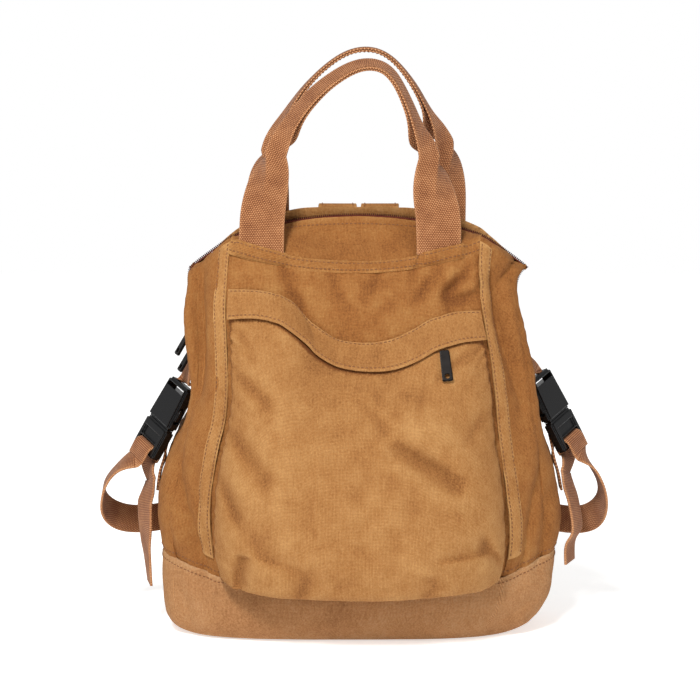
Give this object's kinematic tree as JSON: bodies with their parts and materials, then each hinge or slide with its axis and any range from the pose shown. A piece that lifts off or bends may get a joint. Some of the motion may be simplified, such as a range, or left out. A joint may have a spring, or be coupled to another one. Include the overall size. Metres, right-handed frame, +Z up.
{
  "type": "canvas backpack",
  "caption": "Soft canvas backpack with a zipped top, webbing carry handles, a puffed front pocket, side-release buckles and shoulder straps.",
  "frame": {"origin": "centre of the flat underside of the bag's base", "axes": "+Z up, -Y out of the front with the pocket, +X to the right seen from the front"},
  "size_m": [0.4512, 0.2213, 0.5089],
  "materials": {
    "canvas": "matte washed cotton canvas",
    "webbing": "matte woven cotton webbing",
    "zip_tape": "woven tape with a nylon coil",
    "buckle_plastic": "moulded, half gloss",
    "pull_metal": "darkened, satin"
  },
  "bodies": {
    "root": {"base_tub": "canvas", "front_panel": "canvas", "throat_panel": "canvas", "back_panel": "canvas", "zip_facing_back": "canvas", "front_strip_left": "canvas", "front_strip_right": "canvas", "gusset_front_left": "canvas", "gusset_front_right": "canvas", "gusset_back_left": "canvas", "gusset_back_right": "canvas", "felled_seam_left": "canvas", "felled_seam_right": "canvas", "top_hem": "canvas", "pocket_pouch": "canvas", "pocket_zip_band": "canvas", "shoulder_band_left": "canvas", "shoulder_band_right": "canvas", "handle_front": "webbing", "handle_back": "webbing", "shoulder_webbing_left": "webbing", "shoulder_webbing_right": "webbing", "anchor_tab_left": "webbing", "anchor_tab_right": "webbing", "buckle_tab_left": "webbing", "buckle_tab_right": "webbing", "buckle_socket_left": "buckle_plastic", "buckle_socket_right": "buckle_plastic", "buckle_plug_left": "buckle_plastic", "buckle_plug_right": "buckle_plastic", "main_zip": "zip_tape", "pocket_pull": "pull_metal", "side_pull_upper": "pull_metal", "side_pull_lower": "pull_metal", "side_pull_upper_slider": "pull_metal", "side_pull_lower_slider": "pull_metal"}
  },
  "joints": []
}
